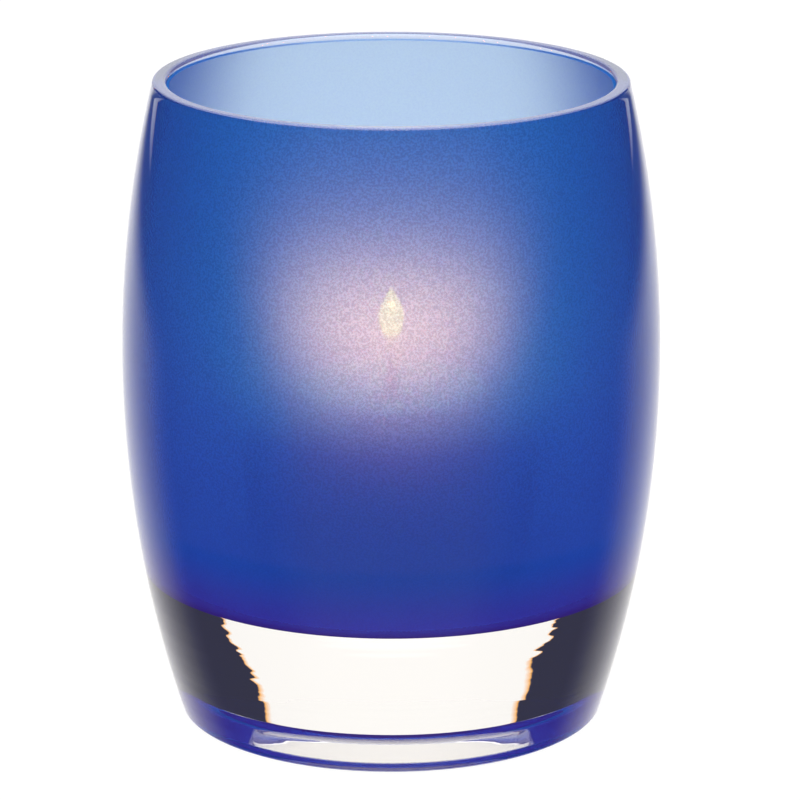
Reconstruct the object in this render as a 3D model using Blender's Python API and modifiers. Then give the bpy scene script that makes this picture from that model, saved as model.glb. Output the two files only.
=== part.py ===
"""Votive candle holder: a heavy barrel-shaped glass with a satin blue lining, and a lit votive light in it.

Metres, +Z up. The origin is the centre of the foot, on the surface that the holder stands on.
"""
from math import atan, cos, pi, radians, sin, sqrt

import bpy

# Driving sizes of the glass
HEIGHT = 0.100
MAX_RADIUS = 0.0415
WAIST_HEIGHT = 0.056         # where the barrel is widest
BARREL_ARC = 0.185           # radius of the arc that the outside follows
HEEL_RADIUS = 0.0008         # small rounding where the side meets the foot
CAVITY_FLOOR = 0.0217        # top of the thick clear base
CAVITY_CORNER = 0.004
WALL_AT_RIM = 0.0022
WALL_AT_FLOOR = 0.0040
RIM_EDGE = 0.0006            # roundings on both sides of the flat, polished rim
PUNT_RADIUS = 0.023          # hollow under the base, so that it stands on a broad ring
PUNT_HEIGHT = 0.0048
PUNT_SIDE = 70.0             # lean of the hollow's side, in degrees above level
PUNT_EDGE = 0.0008           # rounding at the foot of that side
PUNT_CORNER = 0.0022         # rounding between that side and the hollow's roof

# Satin blue layer fused to the inside of the glass
GAP = 0.0003                 # kept between neighbouring solids
LINING_THICKNESS = 0.0005
LINING_TOP = HEIGHT - 0.0008

# Low clear cup that the votive light burns in
CUP_RADIUS = 0.0235          # outside, at the rim
CUP_FOOT_RADIUS = 0.0215
CUP_HEIGHT = 0.0181
CUP_WALL = 0.0008
CUP_FLOOR = 0.0012

# Straight-sided votive light, partly burnt
WAX_RADIUS = 0.0155
WAX_HEIGHT = 0.0270
POOL_RADIUS = 0.0132         # dished top round the wick
POOL_DEPTH = 0.0022
WAX_EDGE = 0.0008            # rounding of the wax's lower edge

# Wick and the steel tab that holds its foot
WICK_RADIUS = 0.0009
WICK_ABOVE_WAX = 0.0058      # above the wax's top edge
WICK_LEAN = 0.0016
TAB_RADIUS = 0.0070
TAB_THICKNESS = 0.0005
NECK_HEIGHT = 0.0050
NECK_WALL = 0.0005

# Heights of the stack inside the glass
LINING_FLOOR = CAVITY_FLOOR + GAP
CUP_BASE = LINING_FLOOR + LINING_THICKNESS + GAP
WAX_BASE = CUP_BASE + CUP_FLOOR + GAP
WAX_TOP = WAX_BASE + WAX_HEIGHT


def clear_scene():
    for thing in list(bpy.data.objects):
        bpy.data.objects.remove(thing, do_unlink=True)


def make_material(name, colour, roughness, metallic=0.0, transmission=0.0):
    material = bpy.data.materials.new(name)
    material.use_nodes = True
    shader = material.node_tree.nodes["Principled BSDF"]
    shader.inputs["Base Color"].default_value = (*colour, 1.0)
    shader.inputs["Roughness"].default_value = roughness
    shader.inputs["Metallic"].default_value = metallic
    shader.inputs["Transmission Weight"].default_value = transmission
    material.diffuse_color = (*colour, 1.0)
    return material


def turned(name, profile, segments, material, collection, closed=False):
    """Turn a profile of (radius, height) points about Z. It runs down its outer side.

    An open profile starts and ends on the axis, and a closed one makes a ring.
    """
    points = [(radius, 0.0, height) for radius, height in profile]
    edges = [(i, i + 1) for i in range(len(points) - 1)]
    if closed:
        edges.append((len(points) - 1, 0))
    mesh = bpy.data.meshes.new(name)
    mesh.from_pydata(points, edges, [])
    piece = bpy.data.objects.new(name, mesh)
    collection.objects.link(piece)
    screw = piece.modifiers.new("turn", "SCREW")
    screw.axis = "Z"
    screw.angle = 2 * pi
    screw.steps = segments
    screw.render_steps = segments
    screw.use_merge_vertices = True
    screw.merge_threshold = 0.00002
    screw.use_smooth_shade = True
    piece.data.materials.append(material)
    return piece


def arc(centre, radius, start, end, count):
    """Points on an arc in the profile's plane, from angle start to angle end."""
    steps = [start + (end - start) * i / count for i in range(count + 1)]
    return [(centre[0] + radius * cos(a), centre[1] + radius * sin(a)) for a in steps]


def bottom_corner(wall, floor, radius, count):
    """Rounding between a flat floor and a leaning wall, from the floor out to the wall."""
    height = floor + radius
    lean = atan((wall(height + 0.0005) - wall(height - 0.0005)) / 0.001)
    join = height - radius * sin(lean)
    centre = (wall(join) - radius * cos(lean), height)
    return arc(centre, radius, -pi / 2, -lean, count)


def wall_points(wall, low, high, count):
    """Points strictly between two heights on a wall, going up."""
    heights = [low + (high - low) * i / (count + 1) for i in range(1, count + 1)]
    return [(wall(height), height) for height in heights]


def outside(height):
    """Outer radius of the glass."""
    return MAX_RADIUS - BARREL_ARC + sqrt(BARREL_ARC ** 2 - (height - WAIST_HEIGHT) ** 2)


def cavity(height):
    """Inner radius of the clear glass, whose wall is thicker low down."""
    share = (height - CAVITY_FLOOR) / (HEIGHT - CAVITY_FLOOR)
    return outside(height) - WALL_AT_FLOOR - (WALL_AT_RIM - WALL_AT_FLOOR) * share


def glass_tumbler(material, collection):
    """Clear barrel: cavity floor, cavity wall, fire-polished rim, outside, heel and ring foot."""
    corner = bottom_corner(cavity, CAVITY_FLOOR, CAVITY_CORNER, 4)
    heel = bottom_corner(outside, 0.0, HEEL_RADIUS, 3)
    rim_height = HEIGHT - RIM_EDGE
    rim = arc((cavity(rim_height) + RIM_EDGE, rim_height), RIM_EDGE, pi, pi / 2, 3)
    rim += arc((outside(rim_height) - RIM_EDGE, rim_height), RIM_EDGE, pi / 2, 0.0, 3)
    profile = [(0.0, CAVITY_FLOOR), *corner]
    profile += wall_points(cavity, corner[-1][1], rim[0][1], 8)
    profile += rim
    profile += reversed(wall_points(outside, heel[-1][1], rim[-1][1], 11))
    profile += reversed(heel)
    profile += punt_points()
    return turned("glass_tumbler", profile, 48, material, collection)


def punt_points():
    """Hollow under the base, from its edge on the ring foot in to the axis."""
    lean = radians(PUNT_SIDE)
    points = []
    for i in range(4):
        a = lean * i / 3
        points.append((PUNT_RADIUS - PUNT_EDGE * sin(a), PUNT_EDGE * (1 - cos(a))))
    across, height = points[-1]
    straight = (PUNT_HEIGHT - height - PUNT_CORNER * (1 - cos(lean))) / sin(lean)
    across -= straight * cos(lean)
    height += straight * sin(lean)
    for i in range(5):
        a = lean * (1 - i / 4)
        points.append((across - PUNT_CORNER * (sin(lean) - sin(a)), height + PUNT_CORNER * (cos(a) - cos(lean))))
    return [*points, (0.0, PUNT_HEIGHT)]


def blue_lining(material, collection):
    """Thin satin layer that follows the cavity's floor, corner and wall up to the rim."""
    def outer_face(height):
        return cavity(height) - GAP

    def inner_face(height):
        return cavity(height) - GAP - LINING_THICKNESS

    inner_floor = LINING_FLOOR + LINING_THICKNESS
    outer_corner = bottom_corner(outer_face, LINING_FLOOR, CAVITY_CORNER - GAP, 4)
    inner_corner = bottom_corner(inner_face, inner_floor, CAVITY_CORNER - GAP - LINING_THICKNESS, 4)
    profile = [(0.0, inner_floor), *inner_corner]
    profile += wall_points(inner_face, inner_corner[-1][1], LINING_TOP, 8)
    profile += [(inner_face(LINING_TOP), LINING_TOP), (outer_face(LINING_TOP), LINING_TOP)]
    profile += reversed(wall_points(outer_face, outer_corner[-1][1], LINING_TOP, 8))
    profile += reversed(outer_corner)
    profile += [(0.0, LINING_FLOOR)]
    return turned("blue_lining", profile, 48, material, collection)


def candle_cup(material, collection):
    """Low clear cup with slightly flared sides and a rounded lip."""
    def outer_face(height):
        share = (height - CUP_BASE) / CUP_HEIGHT
        return CUP_FOOT_RADIUS + (CUP_RADIUS - CUP_FOOT_RADIUS) * share

    def inner_face(height):
        return outer_face(height) - CUP_WALL

    lip_radius = CUP_WALL / 2
    lip_height = CUP_BASE + CUP_HEIGHT - lip_radius
    lip = arc((outer_face(lip_height) - lip_radius, lip_height), lip_radius, pi, 0.0, 4)
    profile = [(0.0, CUP_BASE + CUP_FLOOR)]
    profile += bottom_corner(inner_face, CUP_BASE + CUP_FLOOR, 0.0016, 3)
    profile += lip
    profile += reversed(bottom_corner(outer_face, CUP_BASE, 0.0022, 3))
    profile += [(0.0, CUP_BASE)]
    return turned("candle_cup", profile, 40, material, collection)


def votive_wax(material, collection):
    """Wax with a dished, melted top, a hole for the wick and a recess for the steel tab below."""
    hole = WICK_RADIUS + GAP
    neck = hole + NECK_WALL + GAP
    tab_top = WAX_BASE + TAB_THICKNESS + GAP
    neck_top = WAX_BASE + NECK_HEIGHT + GAP
    lip = (WAX_RADIUS - POOL_RADIUS) / 2
    lip_centre = (WAX_RADIUS - lip, WAX_TOP - lip)
    pool_floor = WAX_TOP - POOL_DEPTH
    profile = [(hole, pool_floor), (POOL_RADIUS * 0.55, pool_floor), (POOL_RADIUS * 0.9, pool_floor + 0.0005)]
    profile += arc(lip_centre, lip, pi, 0.0, 6)
    profile += arc((WAX_RADIUS - WAX_EDGE, WAX_BASE + WAX_EDGE), WAX_EDGE, 0.0, -pi / 2, 2)
    profile += [(TAB_RADIUS + GAP, WAX_BASE), (TAB_RADIUS + GAP, tab_top)]
    profile += [(neck, tab_top), (neck, neck_top), (hole, neck_top)]
    return turned("votive_wax", profile, 32, material, collection, closed=True)


def wick_sustainer(material, collection):
    """Round steel tab with a neck that grips the wick's foot."""
    bore = WICK_RADIUS + GAP
    neck = bore + NECK_WALL
    tab_top = WAX_BASE + TAB_THICKNESS
    neck_top = WAX_BASE + NECK_HEIGHT
    profile = [(bore, neck_top), (neck, neck_top), (neck, tab_top), (TAB_RADIUS, tab_top)]
    profile += [(TAB_RADIUS, WAX_BASE), (bore, WAX_BASE)]
    return turned("wick_sustainer", profile, 24, material, collection, closed=True)


def wick(material, collection):
    """Braided cotton wick, straight in the wax and leaning a little at its burnt tip."""
    tip = WAX_TOP + WICK_ABOVE_WAX
    bend = WAX_TOP + 0.001
    route = [(0.0, WAX_BASE + GAP), (0.0, bend)]
    rise = tip - bend
    for share in (0.4, 0.7, 1.0):
        route.append((WICK_LEAN * share ** 2, bend + rise * share))
    curve = bpy.data.curves.new("wick", "CURVE")
    curve.dimensions = "3D"
    curve.bevel_depth = WICK_RADIUS
    curve.bevel_resolution = 3
    curve.use_fill_caps = True
    spline = curve.splines.new("POLY")
    spline.points.add(len(route) - 1)
    for point, (across, height) in zip(spline.points, route):
        point.co = (across, 0.0, height, 1.0)
    piece = bpy.data.objects.new("wick", curve)
    collection.objects.link(piece)
    curve.materials.append(material)
    return piece


def build():
    clear_scene()
    parts = bpy.data.collections.new("votive_candle_holder")
    bpy.context.scene.collection.children.link(parts)
    clear_glass = make_material("clear_glass", (0.95, 0.96, 0.97), 0.02, transmission=1.0)
    blue_satin = make_material("blue_satin_glass", (0.06, 0.17, 0.48), 0.45, transmission=0.6)
    clear_plastic = make_material("clear_cup", (0.93, 0.94, 0.96), 0.05, transmission=0.9)
    wax = make_material("white_wax", (0.90, 0.87, 0.80), 0.40)
    steel = make_material("tinned_steel", (0.60, 0.60, 0.58), 0.35, metallic=1.0)
    cotton = make_material("charred_cotton", (0.10, 0.08, 0.07), 0.90)

    # Everything on the candle stands on the cup, and the cup on the glass.
    root = bpy.data.objects.new("holder", None)
    cup_body = bpy.data.objects.new("cup", None)
    candle_body = bpy.data.objects.new("candle", None)
    for empty in (root, cup_body, candle_body):
        parts.objects.link(empty)
    cup_body.parent = root
    candle_body.parent = cup_body
    glass_tumbler(clear_glass, parts).parent = root
    blue_lining(blue_satin, parts).parent = root
    candle_cup(clear_plastic, parts).parent = cup_body
    votive_wax(wax, parts).parent = candle_body
    wick_sustainer(steel, parts).parent = candle_body
    wick(cotton, parts).parent = candle_body


build()
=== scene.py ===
"""Looks for the votive candle holder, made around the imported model.

Metres, +Z up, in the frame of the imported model. The origin is the centre of the foot.
The viewer is at -Y.
"""
from math import atan, cos, pi, radians, sin, sqrt

import bpy
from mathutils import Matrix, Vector


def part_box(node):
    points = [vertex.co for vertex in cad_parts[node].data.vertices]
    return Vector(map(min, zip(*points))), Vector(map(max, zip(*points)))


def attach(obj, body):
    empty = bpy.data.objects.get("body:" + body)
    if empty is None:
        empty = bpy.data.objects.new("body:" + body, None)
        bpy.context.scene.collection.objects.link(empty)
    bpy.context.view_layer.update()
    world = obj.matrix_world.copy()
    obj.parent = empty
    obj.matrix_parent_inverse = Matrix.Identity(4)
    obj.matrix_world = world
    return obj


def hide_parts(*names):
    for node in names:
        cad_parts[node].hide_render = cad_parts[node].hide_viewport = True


# The glass, as the CAD model has it
BARREL_ARC = 0.185
WAIST_HEIGHT = 0.056
CAVITY_FLOOR = 0.0217
CAVITY_CORNER = 0.004
HEEL_RADIUS = 0.0008
WALL_AT_RIM = 0.0022
WALL_AT_FLOOR = 0.0040
RIM_EDGE = 0.0006
PUNT_RADIUS = 0.023
PUNT_HEIGHT = 0.0048
PUNT_SIDE = 70.0             # degrees above level
PUNT_EDGE = 0.0008
PUNT_CORNER = 0.0022
LINING_THICKNESS = 0.0005
LINING_BELOW_RIM = 0.0008

# Details of the glass and its lining that only the visual model has
SKIN = 0.00002               # between the fused faces of the glass and its lining
TOP_EASE = 0.0002            # slope at the lining's top edge
FLAT_FLOOR = 0.012           # the cavity's floor is flat at least this far out

# The candle cup, the votive light, the flame and the lamps in it
CUP_WALL = 0.0008
CUP_FLARE = 0.002            # the lip's radius less the foot's
CUP_FLOOR = 0.0012
CUP_INNER_CORNER = 0.0016
CUP_OUTER_CORNER = 0.0022
WAX_LIP = 0.00115
WAX_EDGE = 0.0008
POOL_RADIUS = 0.0132
POOL_DIP = 0.0022
WICK_HOLE = 0.0012
FLAME_RADIUS = 0.0020
FLAME_ROOT = -0.0010         # the flame's lower end, from the wick's tip
FLAME_TIP = 0.0093           # its upper end, from the wick's tip
LAMP_HEIGHT = 0.0640         # above the origin, in the upper half of the flame
LAMP_RADIUS = 0.0006

# Fineness of the turned shapes
RIM_STEPS = 10
TURN_STEPS = 256
SMALL_TURN_STEPS = 128
FLAME_STEPS = 48


def curve_value(points, share):
    """Straight-line look-up in a short list of (share, value) points."""
    for (a, low), (b, high) in zip(points, points[1:]):
        if share <= b:
            return low + (high - low) * (share - a) / (b - a)
    return points[-1][1]


class Tree:
    """A node tree with short calls to add and join nodes."""

    def __init__(self, tree):
        self.tree = tree
        self.tree.nodes.clear()

    def add(self, kind, inputs=None, **settings):
        node = self.tree.nodes.new(kind)
        for name, value in settings.items():
            setattr(node, name, value)
        for key, value in (inputs or {}).items():
            if isinstance(value, bpy.types.NodeSocket):
                self.tree.links.new(value, node.inputs[key])
            else:
                node.inputs[key].default_value = value
        return node

    def math(self, operation, first, second=None):
        inputs = {0: first} if second is None else {0: first, 1: second}
        return self.add("ShaderNodeMath", inputs, operation=operation).outputs[0]

    def mix(self, share, first, second):
        """Blend of two colours, each given as three numbers or as a node's output."""
        ends = [end if isinstance(end, bpy.types.NodeSocket) else (*end, 1.0) for end in (first, second)]
        inputs = {"Factor": share, 6: ends[0], 7: ends[1]}
        return self.add("ShaderNodeMix", inputs, data_type="RGBA").outputs[2]

    def blend(self, share, first, second):
        """Blend of two numbers, each given as a number or as a node's output."""
        return self.add("ShaderNodeMix", {0: share, 2: first, 3: second}, data_type="FLOAT").outputs[0]

    def noise(self, place, scale, detail, roughness=0.5):
        inputs = {"Vector": place, "Scale": scale, "Detail": detail, "Roughness": roughness}
        return self.add("ShaderNodeTexNoise", inputs).outputs["Fac"]

    def bump(self, strength, distance, height):
        inputs = {"Strength": strength, "Distance": distance, "Height": height}
        return self.add("ShaderNodeBump", inputs).outputs[0]

    def place(self):
        """Place in the piece's own frame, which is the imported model's frame at rest."""
        return self.add("ShaderNodeTexCoord").outputs["Object"]

    def height(self):
        return self.add("ShaderNodeSeparateXYZ", {0: self.place()}).outputs["Z"]

    def finish(self, surface):
        self.add("ShaderNodeOutputMaterial", {"Surface": surface})

    def remap(self, value, low, high, to_low=0.0, to_high=1.0, smooth=True):
        kind = "SMOOTHSTEP" if smooth else "LINEAR"
        inputs = {"Value": value, "From Min": low, "From Max": high, "To Min": to_low, "To Max": to_high}
        return self.add("ShaderNodeMapRange", inputs, interpolation_type=kind).outputs["Result"]


def material(name):
    made = bpy.data.materials.new(name)
    made.use_nodes = True
    return made, Tree(made.node_tree)


# ---------------------------------------------------------------- shapes

def arc(centre, radius, start, end, count):
    steps = [start + (end - start) * i / count for i in range(count + 1)]
    return [(centre[0] + radius * cos(a), centre[1] + radius * sin(a)) for a in steps]


def bottom_corner(wall, floor, radius, count):
    """Rounding between a flat floor and a leaning wall, from the floor out to the wall."""
    height = floor + radius
    lean = atan((wall(height + 0.0005) - wall(height - 0.0005)) / 0.001)
    join = height - radius * sin(lean)
    centre = (wall(join) - radius * cos(lean), height)
    return arc(centre, radius, -pi / 2, -lean, count)


def wall_points(wall, low, high, count):
    """Points up a wall, evenly between two heights and without the ends."""
    heights = [low + (high - low) * i / (count + 1) for i in range(1, count + 1)]
    return [(wall(height), height) for height in heights]


def turned(name, profile, materials, slot_of=None, closed=False, steps=TURN_STEPS):
    """Turn a profile about Z into a quad mesh. slot_of(i) gives the material of the i-th stretch."""
    verts, faces, slots = [], [], []
    rings = []
    for radius, height in profile:
        if radius < 1e-7:
            rings.append([len(verts)])
            verts.append((0.0, 0.0, height))
            continue
        rings.append(list(range(len(verts), len(verts) + steps)))
        verts += [(radius * cos(2 * pi * k / steps), radius * sin(2 * pi * k / steps), height)
                  for k in range(steps)]
    spans = list(zip(rings, rings[1:]))
    if closed:
        spans.append((rings[-1], rings[0]))
    for i, (upper, lower) in enumerate(spans):
        for k in range(steps):
            n = (k + 1) % steps
            if len(upper) == 1:
                face = (upper[0], lower[k], lower[n])
            elif len(lower) == 1:
                face = (upper[k], lower[0], upper[n])
            else:
                face = (upper[k], lower[k], lower[n], upper[n])
            faces.append(face)
            slots.append(slot_of(i) if slot_of else 0)
    mesh = bpy.data.meshes.new(name)
    mesh.from_pydata(verts, [], faces)
    mesh.polygons.foreach_set("material_index", slots)
    for entry in materials:
        mesh.materials.append(entry)
    mesh.shade_smooth()
    mesh.set_sharp_from_angle(angle=radians(35))
    piece = bpy.data.objects.new(name, mesh)
    bpy.context.scene.collection.objects.link(piece)
    return piece


def outside(height):
    """Radius of the glass's outer face."""
    return MAX_RADIUS - BARREL_ARC + sqrt(BARREL_ARC ** 2 - (height - WAIST_HEIGHT) ** 2)


def cavity(height):
    """Radius of the glass's cavity."""
    share = (height - CAVITY_FLOOR) / (HEIGHT - CAVITY_FLOOR)
    return outside(height) - WALL_AT_FLOOR - (WALL_AT_RIM - WALL_AT_FLOOR) * share


def clear_glass_piece(glass, joined, rim_edge):
    """The clear glass as one closed solid. Where the lining is fused to it, its face bends no light."""
    corner = bottom_corner(cavity, CAVITY_FLOOR, CAVITY_CORNER, 12)
    heel = bottom_corner(outside, 0.0, HEEL_RADIUS, 8)
    rim_height = HEIGHT - RIM_EDGE
    rim = arc((cavity(rim_height) + RIM_EDGE, rim_height), RIM_EDGE, pi, pi / 2, RIM_STEPS)
    rim += arc((outside(rim_height) - RIM_EDGE, rim_height), RIM_EDGE, pi / 2, 0.0, RIM_STEPS)
    wall = wall_points(cavity, corner[-1][1], LINING_TOP, 60) + [(cavity(LINING_TOP), LINING_TOP)]
    profile = [(0.0, CAVITY_FLOOR), (FLAT_FLOOR, CAVITY_FLOOR), *corner, *wall]
    fused = len(profile) - 1
    profile += rim
    # the polish ends half-way round the rim's outer edge
    polished = len(profile) - RIM_STEPS // 2 - 1
    profile += reversed(wall_points(outside, heel[-1][1], rim[-1][1], 110))
    profile += reversed(heel)
    profile += punt_curve()

    def slot_of(i):
        return 1 if i < fused else 2 if i < polished else 0
    return turned("clear_glass", profile, [glass, joined, rim_edge], slot_of)


def punt_curve():
    """Hollow under the base, from its rounded edge up a steep side and in to the axis."""
    lean = radians(PUNT_SIDE)
    points = []
    for i in range(11):
        a = lean * i / 10
        points.append((PUNT_RADIUS - PUNT_EDGE * sin(a), PUNT_EDGE * (1 - cos(a))))
    across, height = points[-1]
    straight = (PUNT_HEIGHT - height - PUNT_CORNER * (1 - cos(lean))) / sin(lean)
    across -= straight * cos(lean)
    height += straight * sin(lean)
    for i in range(13):
        a = lean * (1 - i / 12)
        inward = PUNT_CORNER * (sin(lean) - sin(a))
        rise = PUNT_CORNER * (cos(a) - cos(lean))
        points.append((across - inward, height + rise))
    return [*points, (points[-1][0] / 2, PUNT_HEIGHT), (0.0, PUNT_HEIGHT)]


def lining_piece(satin, joined):
    """The blue layer: a joined face against the glass, and a satin face towards the candle."""
    def outer_face(height):
        return cavity(height) - SKIN

    def inner_face(height):
        return cavity(height) - LINING_THICKNESS

    low, inner_low = CAVITY_FLOOR + SKIN, CAVITY_FLOOR + LINING_THICKNESS
    outer_corner = bottom_corner(outer_face, low, CAVITY_CORNER - SKIN, 12)
    inner_corner = bottom_corner(inner_face, inner_low, CAVITY_CORNER - LINING_THICKNESS, 12)
    inner_top = LINING_TOP - TOP_EASE
    profile = [(0.0, inner_low), (FLAT_FLOOR, inner_low), *inner_corner]
    profile += wall_points(inner_face, inner_corner[-1][1], inner_top, 60)
    profile += [(inner_face(inner_top), inner_top)]
    inside = len(profile)
    profile += [(outer_face(LINING_TOP), LINING_TOP)]
    profile += reversed(wall_points(outer_face, outer_corner[-1][1], LINING_TOP, 60))
    profile += reversed(outer_corner)
    profile += [(FLAT_FLOOR, low), (0.0, low)]
    return turned("satin_lining", profile, [satin, joined], lambda i: int(i >= inside))


def cup_piece(look, lip_look):
    """Low clear cup with slightly flared sides and a rounded lip, which has a look of its own."""
    low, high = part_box("candle_cup")
    base, top, radius = low.z, high.z, high.x
    foot = radius - CUP_FLARE
    floor = base + CUP_FLOOR

    def outer_face(height):
        return foot + (radius - foot) * (height - base) / (top - base)

    def inner_face(height):
        return outer_face(height) - CUP_WALL

    bead = CUP_WALL / 2
    lip = arc((outer_face(top - bead) - bead, top - bead), bead, pi, 0.0, 12)
    profile = [(0.0, floor)]
    profile += bottom_corner(inner_face, floor, CUP_INNER_CORNER, 8)
    start = len(profile)
    profile += lip
    end = len(profile)
    profile += reversed(bottom_corner(outer_face, base, CUP_OUTER_CORNER, 8))
    profile += [(0.0, base)]

    def slot_of(i):
        return int(start <= i < end - 1)
    return turned("clear_cup", profile, [look, lip_look], slot_of, steps=SMALL_TURN_STEPS)


def wax_piece(look):
    """The votive light: straight sides, a rounded top edge and a melted dish round the wick."""
    low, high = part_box("votive_wax")
    base, top, radius = low.z, high.z, high.x
    pool_floor = top - POOL_DIP
    profile = [(WICK_HOLE, pool_floor + 0.0003)]
    for i in range(1, 13):
        share = i / 12
        across = WICK_HOLE + (POOL_RADIUS - WICK_HOLE) * share * 0.93
        profile.append((across, pool_floor + 0.0009 * share ** 3))
    profile += arc((radius - WAX_LIP, top - WAX_LIP), WAX_LIP, pi * 0.93, 0.0, 14)
    profile += reversed(wall_points(lambda h: radius, base + WAX_EDGE, top - WAX_LIP, 6))
    profile += arc((radius - WAX_EDGE, base + WAX_EDGE), WAX_EDGE, 0.0, -pi / 2, 6)
    profile += [(WICK_HOLE, base)]
    return turned("wax", profile, [look], closed=True, steps=SMALL_TURN_STEPS)


def flame_piece(look):
    """Teardrop flame at the wick's tip."""
    wick_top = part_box("wick")[1].z
    base, top = wick_top + FLAME_ROOT, wick_top + FLAME_TIP
    outline = [(0.0, 0.3), (0.15, 0.5), (0.3, 0.72), (0.48, 0.98)]
    outline += [(0.58, 1.0), (0.7, 0.82), (0.85, 0.42), (1.0, 0.0)]
    count = 28
    profile = []
    for i in range(count + 1):
        share = 1 - i / count
        nearby = [min(1, max(0, share + offset)) for offset in (-0.03, 0, 0.03)]
        smooth = sum(curve_value(outline, value) for value in nearby) / 3
        radius = FLAME_RADIUS * smooth if 0 < share < 1 else 0.0
        profile.append((radius, base + (top - base) * share))
    return turned("flame", profile, [look], steps=FLAME_STEPS)


# ---------------------------------------------------------------- materials

def clear_glass_look():
    """Clear glass, with faint level waves in the thick base."""
    made, tree = material("clear_glass")
    place = tree.place()
    stretched = tree.add("ShaderNodeMapping", {"Vector": place, "Scale": (12.0, 12.0, 300.0)}).outputs[0]
    waves = tree.noise(stretched, 1.0, 2.0, 0.45)
    in_base = tree.remap(tree.height(), 0.018, 0.026, 1.0, 0.0)
    bump = tree.bump(1.0, 0.00006, tree.math("MULTIPLY", waves, in_base))
    glass = tree.add("ShaderNodeBsdfPrincipled", {
        "Base Color": (1.0, 0.988, 0.966, 1.0), "Roughness": 0.0, "IOR": 1.5,
        "Transmission Weight": 1.0, "Normal": bump})
    tree.finish(glass.outputs[0])
    return made


def pale_edge_look(name, glass_colour, roughness, ior, pale_colour, pale_share):
    """Clear glass or plastic with a share of pale matt in it, for a ground or rubbed edge."""
    made, tree = material(name)
    glass = tree.add("ShaderNodeBsdfPrincipled", {
        "Base Color": (*glass_colour, 1.0), "Roughness": roughness, "IOR": ior, "Transmission Weight": 1.0})
    pale = tree.add("ShaderNodeBsdfDiffuse", {"Color": (*pale_colour, 1.0)})
    whole = tree.add("ShaderNodeMixShader", {"Fac": pale_share, 1: glass.outputs[0], 2: pale.outputs[0]})
    tree.finish(whole.outputs[0])
    return made


def joined_look():
    """A face where two layers are fused, which bends no light."""
    made, tree = material("fused_face")
    clear = tree.add("ShaderNodeBsdfTransparent", {"Color": (1, 1, 1, 1)})
    tree.finish(clear.outputs[0])
    return made


def satin_look():
    """Satin face of the blue layer.

    Seen through the glass it is a deep blue, which the flame lights up in a soft round glow.
    Seen from the candle's side it is a pale blue, which lets the backdrop's light in. Both sides also carry
    a weak painted glow, an emission set by height and by the side that is seen.
    """
    made, tree = material("blue_satin_glass")
    height = tree.height()
    through_glass = tree.add("ShaderNodeNewGeometry").outputs["Backfacing"]

    # specks, strong only on the side seen through the glass, and weaker low down
    grain = tree.noise(tree.place(), 3300.0, 1.5, 0.6)
    strong = tree.remap(grain, 0.36, 0.64, 0.78, 1.12)
    faint = tree.remap(grain, 0.36, 0.64, 0.96, 1.02)
    grainy = tree.math("MULTIPLY", through_glass, tree.remap(height, 0.028, 0.050, 0.15, 1.0))
    speck = tree.blend(grainy, faint, strong)

    # colours, each one for the side that is seen
    low_to_high = tree.remap(height, 0.022, 0.080, 0.0, 1.0)
    deep = tree.mix(low_to_high, (0.045, 0.185, 0.76), (0.032, 0.360, 0.80))
    tint = tree.mix(through_glass, (0.70, 0.90, 1.0), deep)
    speckled = tree.add("ShaderNodeVectorMath", {0: tint, 3: speck}, operation="SCALE").outputs[0]
    skin = tree.mix(through_glass, (0.02, 0.30, 1.0), (0.01, 0.05, 0.30))

    # light that passes, mostly spread wide
    wide = tree.add("ShaderNodeBsdfRefraction", {
        "Color": speckled, "Roughness": 0.88, "IOR": 1.5, "Normal": tree.bump(0.15, 0.0001, grain)},
        distribution="BECKMANN")
    crisp = tree.add("ShaderNodeBsdfRefraction", {
        "Color": tint, "Roughness": 0.06, "IOR": 1.5},
        distribution="BECKMANN")
    through = tree.add("ShaderNodeMixShader", {"Fac": 0.08, 1: wide.outputs[0], 2: crisp.outputs[0]})

    # light that the layer scatters
    body = tree.add("ShaderNodeBsdfDiffuse", {"Color": skin, "Roughness": 0.5})
    soft = tree.add("ShaderNodeBsdfTranslucent", {"Color": tint})
    milk = tree.add("ShaderNodeMixShader", {"Fac": 0.12, 1: body.outputs[0], 2: soft.outputs[0]})
    whole = tree.add("ShaderNodeMixShader", {"Fac": 0.4, 1: through.outputs[0], 2: milk.outputs[0]})

    # painted glow: a weak blue emission, set by height and by the side that is seen, which stands in for
    # light that travels along inside the glass wall
    wall_glow = tree.mix(low_to_high, (0.007, 0.030, 0.205), (0.006, 0.008, 0.135))
    near_floor = tree.remap(height, 0.022, 0.034, 0.0, 1.0)
    low_glow = tree.mix(near_floor, (0.030, 0.006, 0.135), wall_glow)
    side_glow = tree.mix(through_glass, (0.0, 0.012, 0.06), low_glow)
    # painted glow: an emission on the lining, which is no lamp
    painted_glow = tree.add("ShaderNodeEmission", {"Color": side_glow, "Strength": 1.0})
    both = tree.add("ShaderNodeAddShader", {0: whole.outputs[0], 1: painted_glow.outputs[0]})
    tree.finish(both.outputs[0])
    return made


def clear_cup_look():
    """Clear plastic, a little worn."""
    made, tree = material("clear_cup")
    glass = tree.add("ShaderNodeBsdfPrincipled", {
        "Base Color": (0.97, 0.98, 1.0, 1.0), "Roughness": 0.04, "IOR": 1.49, "Transmission Weight": 1.0})
    tree.finish(glass.outputs[0])
    return made


def wax_look():
    """Cream-white wax with a soft mottle."""
    made, tree = material("white_wax")
    mottle = tree.noise(tree.place(), 260.0, 4.0, 0.6)
    colour = tree.mix(mottle, (0.86, 0.80, 0.70), (0.95, 0.91, 0.84))
    wax = tree.add("ShaderNodeBsdfPrincipled", {
        "Base Color": colour, "Roughness": 0.38, "Subsurface Weight": 0.6, "Subsurface Scale": 0.004,
        "Normal": tree.bump(0.25, 0.0002, mottle)})
    tree.finish(wax.outputs[0])
    return made


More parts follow.
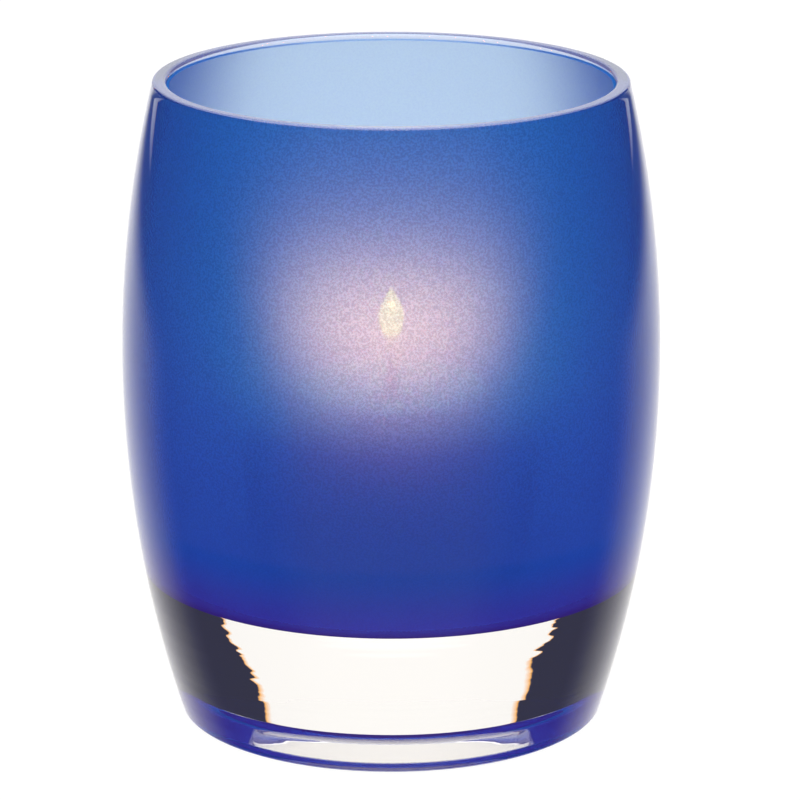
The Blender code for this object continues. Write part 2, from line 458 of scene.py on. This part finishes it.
def flame_look(strength, wick_top):
    """Bright upper part over a dim root."""
    made, tree = material("flame")
    bright = tree.remap(tree.height(), wick_top + 0.0008, wick_top + 0.0026, strength * 0.04, strength)
    light = tree.add("ShaderNodeEmission", {"Color": (1.0, 0.130, 0.007, 1), "Strength": bright})
    tree.finish(light.outputs[0])
    return made


def simple_look(name, colour, roughness, metallic=0.0):
    """Opaque look with a slightly uneven gloss."""
    made, tree = material(name)
    mottle = tree.noise(tree.place(), 600.0, 3.0)
    rough = tree.remap(mottle, 0.3, 0.7, roughness * 0.8, roughness * 1.2)
    surface = tree.add("ShaderNodeBsdfPrincipled", {
        "Base Color": (*colour, 1.0), "Roughness": rough, "Metallic": metallic})
    tree.finish(surface.outputs[0])
    return made


# ---------------------------------------------------------------- studio

def sine(degrees):
    """Z of a direction of length 1 that points this far above level."""
    return sin(radians(degrees))


def studio_world():
    """White ground for the camera. What the glass mirrors and bends is a painted studio.

    The studio is a white backdrop and table behind the glass, a large soft light above, and a dim room
    to the sides and in front. Azimuth 0 is straight behind the glass.
    """
    world = bpy.data.worlds.new("studio")
    world.use_nodes = True
    tree = Tree(world.node_tree)
    way = tree.add("ShaderNodeTexCoord").outputs["Generated"]
    xyz = tree.add("ShaderNodeSeparateXYZ", {0: way})
    x, z = xyz.outputs["X"], xyz.outputs["Z"]
    azimuth = tree.math("ABSOLUTE", tree.math("ARCTAN2", x, xyz.outputs["Y"]))

    # backdrop, wider at its foot, with sides that are ragged up to about the level
    side = tree.math("SIGN", x)
    along = tree.add("ShaderNodeCombineXYZ", {0: side, 1: 0.0, 2: tree.math("MULTIPLY", z, 7.0)}).outputs[0]
    ragged = tree.noise(along, 1.0, 2.0, 0.5)
    sway = tree.remap(ragged, 0.3, 0.7, radians(-6.0), radians(6.0), smooth=False)
    sway = tree.math("MULTIPLY", sway, tree.remap(z, sine(-3), sine(1), 1.0, 0.0))
    reach = tree.remap(z, sine(-6.4), sine(-3), radians(42), radians(25), smooth=False)
    inside = tree.math("SUBTRACT", tree.math("ADD", reach, sway), azimuth)
    backdrop = tree.remap(inside, radians(-0.3), radians(0.3), 0.0, 1.07)
    backdrop = tree.math("MULTIPLY", backdrop, tree.remap(azimuth, radians(28), radians(48), 1.0, 0.22))

    # table, which darkens to the sides, and there also towards the horizon
    table = tree.remap(azimuth, radians(22), radians(80), 1.15, 0.0)
    horizon = tree.remap(azimuth, radians(20), radians(57), sine(-8.6), sine(-11.6), smooth=False)
    near = tree.remap(tree.math("SUBTRACT", horizon, z), sine(-2.4), sine(2.4), 0.12, 1.0)
    beside = tree.remap(azimuth, radians(14), radians(24), 0.0, 1.0)
    table = tree.math("MULTIPLY", table, tree.blend(beside, 1.0, near))
    below = tree.remap(z, sine(-6.4), sine(-5.8), 1.0, 0.0)
    level = tree.blend(below, backdrop, table)

    # light above, and a dim room to the sides and in front
    above = tree.remap(z, sine(38), sine(60), 0.0, 2.6)
    front = tree.remap(azimuth, radians(112), radians(150), 0.0, 0.30)
    dim = tree.math("MAXIMUM", front, 0.06)
    room = tree.math("MAXIMUM", tree.math("MAXIMUM", level, above), dim)

    # amber fringe along the backdrop's sides, and a bluish tone where it is dark
    outer = tree.remap(inside, radians(-0.6), radians(-0.3), 0.0, 1.0)
    inner = tree.remap(inside, radians(0.1), radians(1.6), 1.0, 0.0, smooth=False)
    fringe = tree.math("MULTIPLY", tree.math("MULTIPLY", outer, inner), tree.math("SUBTRACT", 1.0, below))
    lit = tree.mix(fringe, (1.0, 0.985, 0.96), (1.0, 0.50, 0.14))
    shade = tree.remap(room, 0.03, 0.5, 1.0, 0.0)
    tone = tree.mix(shade, lit, (0.60, 0.62, 1.0))

    camera = tree.add("ShaderNodeLightPath").outputs["Is Camera Ray"]
    strength = tree.blend(camera, room, 1.0)
    colour = tree.mix(camera, tone, (1.0, 1.0, 1.0))
    ground = tree.add("ShaderNodeBackground", {"Color": colour, "Strength": strength})
    tree.add("ShaderNodeOutputWorld", {"Surface": ground.outputs[0]})
    bpy.context.scene.world = world


def studio_floor():
    """White table. The camera sees it evenly lit, with only a faint contact shadow."""
    made, tree = material("studio_floor")
    shaded = tree.add("ShaderNodeBsdfDiffuse", {"Color": (0.92, 0.92, 0.92, 1)})
    even = tree.add("ShaderNodeEmission", {"Color": (1, 1, 1, 1), "Strength": 1.05})
    camera = tree.add("ShaderNodeLightPath").outputs["Is Camera Ray"]
    share = tree.math("MULTIPLY", camera, 0.93)
    lit = tree.add("ShaderNodeMixShader", {"Fac": share, 1: shaded.outputs[0], 2: even.outputs[0]})
    tree.finish(lit.outputs[0])
    bpy.ops.mesh.primitive_plane_add(size=3.0, location=(0, 0, -0.0001))
    floor = bpy.context.object
    floor.name = "studio_floor"
    floor.data.materials.append(made)
    floor.visible_glossy = False
    floor.visible_transmission = False


def flame_lamp(name, energy, colour):
    """Small lamp inside the flame."""
    data = bpy.data.lights.new(name, "POINT")
    data.energy = energy
    data.color = colour
    data.shadow_soft_size = LAMP_RADIUS
    lamp = bpy.data.objects.new(name, data)
    bpy.context.scene.collection.objects.link(lamp)
    lamp.location = (0, 0, LAMP_HEIGHT)
    return lamp


def light_only(lamp, pieces, name):
    """Let a lamp light only some of the pieces."""
    group = bpy.data.collections.new(name)
    for piece in pieces:
        group.objects.link(piece)
    lamp.light_linking.receiver_collection = group


def camera_at(azimuth, elevation, distance, target, lens, shift):
    """Camera that looks at the target, with angles in degrees."""
    data = bpy.data.cameras.new("camera")
    camera = bpy.data.objects.new("camera", data)
    bpy.context.scene.collection.objects.link(camera)
    a, e = radians(azimuth), radians(elevation)
    back = Vector((sin(a) * cos(e), -cos(a) * cos(e), sin(e)))
    camera.location = Vector(target) + back * distance
    camera.rotation_euler = (-back).to_track_quat("-Z", "Y").to_euler()
    data.lens = lens
    data.shift_x, data.shift_y = shift
    bpy.context.scene.camera = camera


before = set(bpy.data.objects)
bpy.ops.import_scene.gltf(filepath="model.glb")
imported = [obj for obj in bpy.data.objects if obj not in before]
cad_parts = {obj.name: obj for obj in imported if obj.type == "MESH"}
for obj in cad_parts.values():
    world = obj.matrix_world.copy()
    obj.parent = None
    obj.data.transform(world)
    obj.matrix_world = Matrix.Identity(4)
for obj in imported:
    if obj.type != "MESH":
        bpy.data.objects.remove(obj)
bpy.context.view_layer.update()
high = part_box("glass_tumbler")[1]
HEIGHT = high.z
MAX_RADIUS = high.x
LINING_TOP = HEIGHT - LINING_BELOW_RIM

bpy.context.scene.view_settings.view_transform = "Standard"
camera_at(azimuth=0, elevation=15.87, distance=0.672, target=(0, 0, 0.0501),
          lens=195.3, shift=(0.0110, -0.0079))
studio_world()
studio_floor()

joined = joined_look()
polished_rim = pale_edge_look("polished_rim", glass_colour=(0.44, 0.62, 0.96), roughness=0.08, ior=1.5,
                              pale_colour=(0.62, 0.70, 0.98), pale_share=0.26)
glass = clear_glass_piece(clear_glass_look(), joined, polished_rim)
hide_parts("glass_tumbler")
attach(glass, "tumbler")
lining = lining_piece(satin_look(), joined)
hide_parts("blue_lining")
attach(lining, "tumbler")
cup_lip = pale_edge_look("cup_lip", glass_colour=(0.97, 0.98, 1.0), roughness=0.12, ior=1.49,
                         pale_colour=(0.88, 0.90, 0.95), pale_share=0.5)
cup = cup_piece(clear_cup_look(), cup_lip)
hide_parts("candle_cup")
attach(cup, "cup")
wax = wax_piece(wax_look())
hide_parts("votive_wax")
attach(wax, "candle")
flame = flame_piece(flame_look(strength=110.0, wick_top=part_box("wick")[1].z))
# the lamps inside have to shine out of it
flame.visible_shadow = False
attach(flame, "candle")
wick, wick_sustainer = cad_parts["wick"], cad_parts["wick_sustainer"]
wick.data.materials.clear()
wick.data.materials.append(simple_look("charred_cotton", (0.03, 0.022, 0.02), roughness=0.9))
wick_sustainer.data.materials.clear()
tinned_steel = simple_look("tinned_steel", (0.62, 0.62, 0.60), roughness=0.32, metallic=1.0)
wick_sustainer.data.materials.append(tinned_steel)

glow = flame_lamp("flame_glow", energy=0.355, colour=(1.0, 0.048, 0.013))
flame_light = flame_lamp("flame_light", energy=0.08, colour=(1.0, 0.40, 0.13))
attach(glow, "candle")
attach(flame_light, "candle")
light_only(glow, [lining], "glow_on_the_lining")
light_only(flame_light, [glass, cup, wax, wick, wick_sustainer], "flame_light_on_the_rest")
